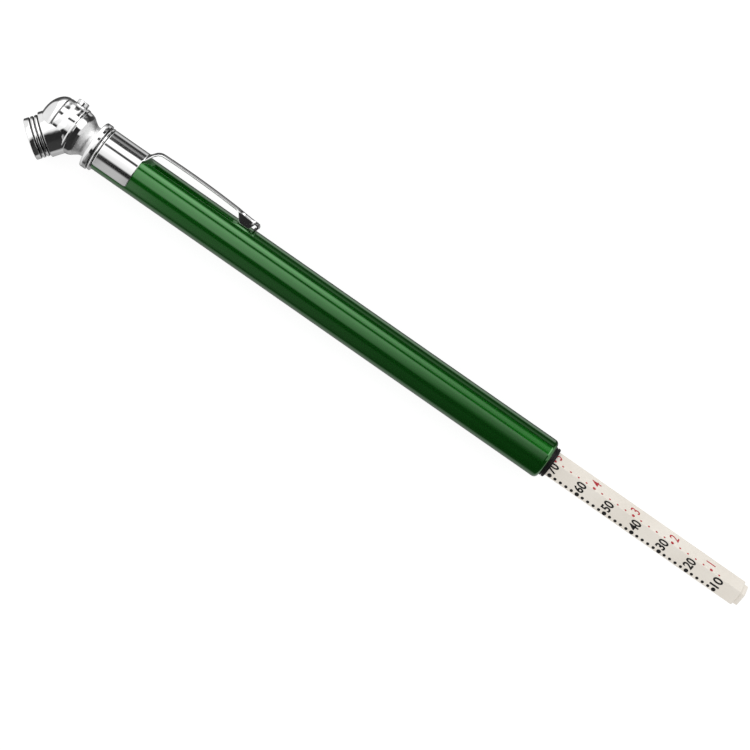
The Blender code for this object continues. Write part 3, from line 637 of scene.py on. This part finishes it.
def clipPath():
    # the strip's middle: distance past the band, and rise over it
    ramp, rise, length, tip = clip["ramp"], clip["rise"], clip["armLength"], clip["tipRise"]
    span = length - ramp
    first, second = clip["rampPulls"]
    points = curve([(0, 0), (first * ramp, 0), (second * ramp, rise), (ramp, rise)], clip["rampSteps"])
    first, second = clip["bowPulls"]
    points += curve([(ramp, rise), (ramp + first * span, rise + clip["bow"]),
                     (ramp + second * span, rise + clip["bowEnd"] * clip["bow"]), (length, tip)],
                    clip["armSteps"])
    centre = Vector((length, tip - clip["hem"]))
    for step in range(1, clip["hemSteps"] + 1):
        angle = math.radians(90 - 180 * step / clip["hemSteps"])
        points.append(centre + Vector((math.cos(angle), math.sin(angle))) * clip["hem"])
    return points


def rollBand(wrap, rootAngle):
    # a line along the tube, spun in three goes, so that the arm's root gets its own points
    stations = (clip["bandStart"], (clip["bandStart"] + clip["bandEnd"]) / 2, clip["bandEnd"])
    startOut = Vector((0, math.cos(wrap), math.sin(wrap)))
    penOutline([(station, clip["bandRadius"]) for station in stations], Vector(), alongTube, startOut)
    bpy.ops.mesh.select_all(action="SELECT")
    side = (wrap - rootAngle, clip["sideSteps"])
    for angle, steps in (side, (2 * rootAngle, clip["rootSteps"]), side):
        bpy.ops.mesh.spin(steps=steps, angle=angle, center=(0, 0, 0), axis=alongTube)
    bpy.ops.mesh.select_all(action="SELECT")
    bpy.ops.mesh.remove_doubles(threshold=mergeGap)


def pullArm(bandEnd, radius, rootAngle):
    # extrudes the root's edge along the path, and narrows and flattens it on the way
    rootHeight = radius * math.cos(rootAngle) - pickGap
    selectVerts(lambda vert: vert.co.x > bandEnd - pickGap and vert.co.y > rootHeight)
    last = Vector((0, 0))
    lastHalf, lastSag = clip["rootHalf"], 1 - math.cos(rootAngle)
    for point in clipPath():
        narrow = smoothStep(point.x / (clip["narrowEnd"] * clip["ramp"]))
        half = clip["rootHalf"] + (clip["armHalf"] - clip["rootHalf"]) * narrow
        sag = (1 - math.cos(math.asin(half / clip["bandRadius"]))) * (1 - narrow)
        step = Vector((point.x - last.x, point.y - last.y, 0)) * mm
        bpy.ops.mesh.extrude_region_move(TRANSFORM_OT_translate={"value": step})
        if half != lastHalf or sag != lastSag:
            centre = (bandEnd + point.x * mm, radius + point.y * mm, 0)
            flatten = sag / lastSag if lastSag else 1
            bpy.ops.transform.resize(value=(1, flatten, half / lastHalf), center_override=centre)
        last, lastHalf, lastSag = point, half, sag


def footShare(along):
    # how far the foot is pressed at a distance along the arm, from 0 to 1
    share = smoothStep((along - clip["footStart"]) / (clip["footFlat"] - clip["footStart"]))
    return share - smoothStep((along - clip["footBack"]) / (clip["footEnd"] - clip["footBack"]))


def footDepth(along, rise, across):
    if rise < clip["tipRise"]:
        return 0
    width = smoothStep((1 - across) / clip["footWall"]) * smoothStep((1 + across) / clip["footSlope"])
    return (rise - clip["footGap"]) * footShare(along) * width


def pressFoot(bandEnd, radius):
    # presses the strip down: points of one depth, to a thousandth of a millimetre, go together
    presses = {}
    work = bmesh.from_edit_mesh(bpy.context.object.data)
    for vert in work.verts:
        along = (vert.co.x - bandEnd) / mm
        if along > clip["footStart"] and vert.co.y > radius:
            depth = footDepth(along, (vert.co.y - radius) / mm, vert.co.z / mm / clip["armHalf"])
            if depth > clip["leastPress"]:
                presses.setdefault(round(depth, 3), set()).add(vert.index)
    for depth, indices in presses.items():
        selectVerts(lambda vert: vert.index in indices)
        bpy.ops.transform.translate(value=(0, -depth * mm, 0))


def crownDrop(across):
    # how far the arched arm falls off: its face turns away from the viewer towards the far edge
    middle = math.radians(clip["crownNear"] + clip["crownFar"]) / 2
    swing = math.radians(clip["crownFar"] - clip["crownNear"]) / 2
    return clip["armHalf"] * (middle * across + swing * across ** 2 / 2) - clip["crownLift"]


def crownArm(bandEnd, rootAngle):
    # arches the arm, one lengthwise row of points after another, and lets the ramp run into it
    rows = clip["rootSteps"]
    for row in range(rows + 1):
        across = math.sin(rootAngle * (2 * row / rows - 1)) / math.sin(rootAngle)
        side = across * clip["armHalf"] * mm
        for start, end, share in clip["crownStretches"]:
            low = bandEnd + start * clip["ramp"] * mm
            high = bandEnd + end * clip["ramp"] * mm
            selectVerts(lambda vert: low < vert.co.x <= high and abs(vert.co.z - side) < pickGap)
            bpy.ops.transform.translate(value=(0, -crownDrop(-across) * share * mm, 0))


def foldSkirt(bandEnd):
    # the foot's near side goes down to the tube, each point of its edge by its own depth
    edge = clip["armHalf"] * mm - pickGap
    low = bandEnd + clip["footStart"] * mm
    high = bandEnd + clip["footEnd"] * mm
    selectVerts(lambda vert: vert.co.z > edge and low < vert.co.x < high)
    bpy.ops.mesh.extrude_edges_move(TRANSFORM_OT_translate={"value": (0, 0, 0)})
    work = bmesh.from_edit_mesh(bpy.context.object.data)
    places = [(vert.index, vert.co.copy()) for vert in work.verts if vert.select]
    for index, place in places:
        depth = (place.y - clip["skirtEnd"] * mm) * footShare((place.x - bandEnd) / mm)
        selectVerts(lambda vert: vert.index == index)
        bpy.ops.transform.translate(value=(0, -depth, 0))
    bpy.ops.mesh.select_all(action="SELECT")
    bpy.ops.mesh.remove_doubles(threshold=clip["skirtMerge"] * mm)


def roundBand(radius, wrap):
    # rounds the band's four corners
    corners = [Vector((clip[station] * mm, radius * math.cos(wrap), side * radius * math.sin(wrap)))
               for station in ("bandStart", "bandEnd") for side in (-1, 1)]
    selectVerts(lambda vert: any((vert.co - corner).length < pickGap for corner in corners))
    bpy.ops.mesh.bevel(offset=clip["corner"] * mm, segments=clip["cornerSteps"], affect="VERTICES")


def softenRims(piece, tipStart):
    # rounds the strip's edges, and leaves the rolled tip's rim square
    bpy.ops.object.mode_set(mode="EDIT")
    bpy.ops.mesh.select_mode(type="EDGE")
    bpy.ops.mesh.select_all(action="DESELECT")
    bpy.ops.mesh.edges_select_sharp(sharpness=math.radians(clip["sharpAngle"]))
    work = bmesh.from_edit_mesh(piece.data)
    for edge in work.edges:
        if max(vert.co.x for vert in edge.verts) > tipStart:
            edge.select = False
    bmesh.update_edit_mesh(piece.data)
    bpy.ops.mesh.bevel(offset=clip["edge"] * mm, segments=clip["edgeSteps"])
    bpy.ops.mesh.select_mode(type="VERT")
    bpy.ops.object.mode_set(mode="OBJECT")


def makeClip():
    radius = clip["bandRadius"] * mm
    bandEnd = clip["bandEnd"] * mm
    wrap = math.radians(clip["wrap"])
    rootAngle = math.asin(clip["rootHalf"] / clip["bandRadius"])
    rollBand(wrap, rootAngle)
    pullArm(bandEnd, radius, rootAngle)
    pressFoot(bandEnd, radius)
    crownArm(bandEnd, rootAngle)
    foldSkirt(bandEnd)
    roundBand(radius, wrap)
    bpy.ops.mesh.select_all(action="SELECT")
    bpy.ops.mesh.normals_make_consistent(inside=False)
    bpy.ops.object.mode_set(mode="OBJECT")
    piece = bpy.context.object
    applyModifier(piece, "SOLIDIFY", thickness=clip["sheet"] * mm, offset=0)
    softenRims(piece, bandEnd + (clip["armLength"] - clip["squareTip"]) * mm)
    piece.rotation_euler = (math.radians(clip["turn"]), 0, 0)
    piece.location = gaugeAxis
    finishPiece(piece, "pocketClipStrip", clipChrome, "barrel", smoothAngle=40,
                replaces=["pocket_clip"], evenShading=True)


makeClip()


# Printed scales on the indicator bar, as thin solid ink

ink = {
    "turn": 35.0, "side": 4.38, "thickness": 0.02, "sink": 0.012, "edge": 0.004, "dotSides": 20,
    "fontDigit": 0.56, "shiftOfOne": -0.6,
}
# each value has a dot, and one that divides by numberEvery has a big dot and its number of units
blackScale = {
    "values": range(10, 71, 2), "numberEvery": 10, "numberUnit": 1, "last": 120.9, "step": 7.27,
    "dotEdge": 0.72, "bigDot": 1.06, "smallDot": 0.76,
    "digitHeight": 2.45, "digitsStart": 1.5, "digitsWidth": 2.55, "digitShift": -0.4, "bold": 0.028,
}
redScale = {
    "values": range(4, 26), "numberEvery": 5, "numberUnit": 5, "last": 120.06, "step": 10.36,
    "dotEdge": 0.42, "bigDot": 0.8, "smallDot": 0.52,
    "digitHeight": 2.4, "digitsStart": 1.45, "digitsWidth": 1.75, "digitShift": 0, "bold": 0.011,
}


def facePoint(face, across, station, distance):
    # where ink lies on a face: the distance counts from the face's starting corner
    half = ink["side"] / 2
    lift = ink["thickness"] / 2 - ink["sink"]
    return gaugeAxis + (alongTube * station + face * (half + lift) + across * (distance - half)) * mm


def valueStation(scale, value):
    return scale["last"] + (scale["values"][-1] - value) / scale["numberEvery"] * scale["step"]


def printDots(name, scale, face, across, material):
    # each dot is a disc with a small bevelled edge
    dots = []
    for value in scale["values"]:
        startFresh()
        diameter = scale["smallDot"] if value % scale["numberEvery"] else scale["bigDot"]
        centre = facePoint(face, across, valueStation(scale, value), scale["dotEdge"])
        bpy.ops.mesh.primitive_cylinder_add(vertices=ink["dotSides"], radius=diameter / 2 * mm,
                                            depth=ink["thickness"] * mm, location=centre,
                                            rotation=face.to_track_quat("Z", "Y").to_euler())
        dots.append(bpy.context.object)
        bpy.ops.object.mode_set(mode="EDIT")
        bpy.ops.mesh.select_all(action="SELECT")
        bpy.ops.mesh.bevel(offset=ink["edge"] * mm, segments=1)
        bpy.ops.object.mode_set(mode="OBJECT")
    finishPiece(joinPieces(dots), name, material, "indicator", smoothAngle=40)


def printNumbers(name, scale, face, across, material):
    numbers = []
    for value in scale["values"]:
        if value % scale["numberEvery"]:
            continue
        text = str(value // scale["numberUnit"])
        startFresh()
        bpy.ops.object.text_add(location=(0, 0, 0))
        number = bpy.context.object
        number.data.body = text
        number.data.align_x = "CENTER"
        number.data.align_y = "CENTER"
        number.data.size = 1
        number.data.resolution_u = 6
        number.data.offset = scale["bold"]
        number.data.extrude = 0.5
        bpy.ops.object.convert(target="MESH")
        bpy.ops.object.origin_set(type="GEOMETRY_ORIGIN", center="BOUNDS")
        number = bpy.context.object
        wide, tall, thick = number.dimensions
        span = scale["digitsWidth"] if len(text) > 1 else scale["digitsWidth"] * wide / ink["fontDigit"]
        number.scale = Vector((span / wide, scale["digitHeight"] / tall, ink["thickness"] / thick)) * mm
        number.rotation_mode = "QUATERNION"
        number.rotation_quaternion = Matrix((across, -alongTube, face)).transposed().to_quaternion()
        station = valueStation(scale, value) + scale["digitShift"]
        if text == "1":
            station += ink["shiftOfOne"]
        distance = scale["digitsStart"] + scale["digitsWidth"] / 2
        number.location = facePoint(face, across, station, distance)
        bpy.ops.object.transform_apply(location=True, rotation=True, scale=True)
        numbers.append(number)
    finishPiece(joinPieces(numbers), name, material, "indicator", smoothAngle=40)


barTurn = math.radians(ink["turn"])
blackFace = Vector((0, -math.sin(barTurn), math.cos(barTurn)))
redFace = Vector((0, math.cos(barTurn), math.sin(barTurn)))
printDots("blackScaleDots", blackScale, blackFace, redFace, blackInk)
printDots("redScaleDots", redScale, redFace, -blackFace, redInk)
printNumbers("blackScaleNumbers", blackScale, blackFace, redFace, blackInk)
printNumbers("redScaleNumbers", redScale, redFace, -blackFace, redInk)
print("scales printed")


# Room, floor, light and camera

room = {
    "ambient": 0.86, "peak": 2.6,
    # each view gives brightness by the angle round the tube: 0 is straight up, towards the camera,
    # and 90 is towards +Y
    "views": {
        # what is always there, then two boxes over the tube, the near one as the tube's far end
        # shows it, and a grey patch low on the near side, which the clip's band shows
        "edges": [(-180, 0.15), (-150, 0.26), (-125, 0.34), (-115, 0.12), (-110, 0.02), (-90, 0.0),
                  (-43, 0.01), (-26, 0.01), (-20, 0), (70, 0), (76, 0.02), (82, 0.03), (89, 0.30),
                  (97, 0.14), (104, 0.02), (115, 0.02), (121, 0.41), (129, 0.69), (136, 0.44),
                  (146, 0.25), (156, 0.08), (164, 0.04), (180, 0.03)],
        "nearBox": [(-180, 0), (-27, 0.01), (-19, 0.84), (0, 0.98), (22, 1.28), (28, 0.03), (34, 0),
                    (180, 0)],
        "nearBoxEnd": [(-180, 0), (-27, 0.02), (-15, 0.12), (-4, 0.32), (6, 0.42), (17, 0.66),
                       (24, 0.78), (28, 0.03), (34, 0), (180, 0)],
        "farBox": [(-180, 0), (28, 0), (34, 0.03), (40, 1.2), (47, 1.5), (54, 1.9), (61, 1.4),
                   (67, 0.02), (180, 0)],
        "patch": [(-180, 0), (-112, 0), (-107, 0.04), (-101, 0.22), (-94, 0.40), (-84, 0.50),
                  (-52, 0.48), (-47, 0.20), (-43, 0.0), (180, 0)],
        # further left, which the ball and the mouth show, and far to the left
        "left": [(-180, 0.10), (-150, 0.45), (-120, 0.62), (-92, 0.80), (-20, 1.0), (20, 1.6),
                 (100, 1.6), (116, 0.60), (132, 0.10), (155, 0.06), (180, 0.12)],
        "farLeft": [(-180, 0.85), (180, 0.85)],
        # to the right, and far to the right
        "right": [(-180, 0.36), (-150, 0.42), (-126, 0.36), (-114, 0.03), (20, 0.02), (28, 1.8),
                  (70, 2.0), (80, 0.12), (100, 0.03), (140, 0.05), (180, 0.30)],
        "farRight": [(-180, 0.40), (-140, 0.55), (-124, 0.50), (-112, 0.04), (-12, 0.04), (-4, 0.75),
                     (110, 0.75), (140, 0.20), (180, 0.30)],
    },
    # how much of a view shows, by the direction's x: how far it leans along the tube
    "fades": {
        "nearBox": [(-1.0, 1.0), (-0.08, 1.0), (0.038, 0.0), (1.0, 0.0)],
        "nearBoxEnd": [(-1.0, 0.0), (-0.08, 0.0), (0.038, 1.0), (0.066, 1.0), (0.090, 0.80),
                       (0.110, 0.06), (1.0, 0.03)],
        "farBox": [(-1.0, 1.0), (-0.08, 1.0), (0.038, 0.36), (0.066, 0.24), (0.110, 0.04), (1.0, 0.02)],
        "patch": [(-1.0, 0.0), (-0.152, 0.0), (-0.142, 1.0), (-0.125, 1.0), (-0.108, 0.42), (0.0, 0.10),
                  (0.05, 0.02), (1.0, 0.0)],
        "left": [(-1.0, 1.0), (-0.159, 1.0), (-0.151, 0.0), (1.0, 0.0)],
        "farLeft": [(-1.0, 1.0), (-0.80, 1.0), (-0.72, 0.0), (1.0, 0.0)],
        "right": [(-1.0, 0.0), (0.085, 0.0), (0.100, 1.0), (1.0, 1.0)],
        "farRight": [(-1.0, 0.0), (0.50, 0.0), (0.62, 1.0), (1.0, 1.0)],
    },
}
studio = {
    # the floor and the lamp are in metres
    "floorSize": 3.0, "floorGlow": 0.86, "floorColour": (0.22, 0.22, 0.22), "floorRoughness": 0.9,
    "lampEnergy": 2.2, "lampSize": 0.8, "lampHeight": 0.8, "lampShift": (-0.25, 0.7),
    "cameraCentre": (0.66, -4.95), "viewWidth": 164.2, "lens": 120, "sensor": 36, "roll": 34.88,
    "focusHeight": 5.6,
}


def toneRamp(tree, value, low, high, stops):
    made = tree.nodes.new("ShaderNodeValToRGB")
    elements = made.color_ramp.elements
    while len(elements) < len(stops):
        elements.new(0.5)
    for element, (place, level) in zip(elements, stops):
        element.position = (place - low) / (high - low)
        element.color = (level, level, level, 1)
    tree.links.new(spread(tree, value, 0, 1, low, high), made.inputs["Fac"])
    return made.outputs["Color"]


def makeWorld():
    world = bpy.data.worlds.new("studioRoom")
    bpy.context.scene.world = world
    world.use_nodes = True
    tree = world.node_tree
    coords = tree.nodes.new("ShaderNodeTexCoord")
    parts = tree.nodes.new("ShaderNodeSeparateXYZ")
    tree.links.new(coords.outputs["Generated"], parts.inputs["Vector"])
    along, across, up = (parts.outputs[axis] for axis in "XYZ")
    angle = calculate(tree, "ARCTAN2", across, up)
    views = {}
    for name, stops in room["views"].items():
        stops = [(math.radians(place), level / room["peak"]) for place, level in stops]
        views[name] = toneRamp(tree, angle, -math.pi, math.pi, stops)
    fades = {name: toneRamp(tree, along, -1, 1, stops) for name, stops in room["fades"].items()}
    shown = views["edges"]
    for name in ("nearBox", "nearBoxEnd", "farBox", "patch"):
        shown = calculate(tree, "ADD", shown, calculate(tree, "MULTIPLY", views[name], fades[name]))
    for name in ("left", "farLeft", "right", "farRight"):
        shown = mixTones(tree, fades[name], shown, views[name])
    shown = calculate(tree, "MULTIPLY", shown, room["peak"])
    # only mirrors see the room, and the camera sees white
    rays = tree.nodes.new("ShaderNodeLightPath")
    shown = mixTones(tree, rays.outputs["Is Glossy Ray"], room["ambient"], shown)
    shown = mixTones(tree, rays.outputs["Is Camera Ray"], shown, 1.0)
    tree.links.new(shown, tree.nodes["Background"].inputs["Color"])


def makeFloor():
    # mostly glowing, so that it stays white and keeps only a faint shadow
    startFresh()
    bpy.ops.mesh.primitive_plane_add(size=studio["floorSize"], location=(0, 0, 0))
    floor = bpy.context.object
    floor.name = "studioFloor"
    material, shader = newMaterial("paleFloor")
    shader.inputs["Base Color"].default_value = (*studio["floorColour"], 1)
    shader.inputs["Roughness"].default_value = studio["floorRoughness"]
    shader.inputs["Specular IOR Level"].default_value = 0
    shader.inputs["Emission Color"].default_value = (1, 1, 1, 1)
    shader.inputs["Emission Strength"].default_value = studio["floorGlow"]
    floor.data.materials.append(material)
    floor.visible_glossy = False


def makeLamp():
    lamp = bpy.data.lights.new("softLamp", "AREA")
    lamp.energy = studio["lampEnergy"]
    lamp.size = studio["lampSize"]
    lampObject = bpy.data.objects.new("softLamp", lamp)
    bpy.context.scene.collection.objects.link(lampObject)
    lampObject.location = (*studio["lampShift"], studio["lampHeight"])
    lampObject.rotation_euler = (-lampObject.location).to_track_quat("-Z", "Y").to_euler()
    lampObject.visible_glossy = False


def makeCamera():
    camera = bpy.data.cameras.new("photoCamera")
    camera.lens = studio["lens"]
    camera.sensor_width = studio["sensor"]
    camera.sensor_fit = "AUTO"
    camera.clip_start = 0.01
    cameraObject = bpy.data.objects.new("photoCamera", camera)
    bpy.context.scene.collection.objects.link(cameraObject)
    distance = studio["viewWidth"] * studio["lens"] / studio["sensor"]
    cameraObject.location = Vector((*studio["cameraCentre"], studio["focusHeight"] + distance)) * mm
    cameraObject.rotation_euler = (0, 0, math.radians(studio["roll"]))
    bpy.context.scene.camera = cameraObject


makeWorld()
makeFloor()
makeLamp()
makeCamera()
bpy.context.scene.view_settings.view_transform = "Standard"
print("studio ready")
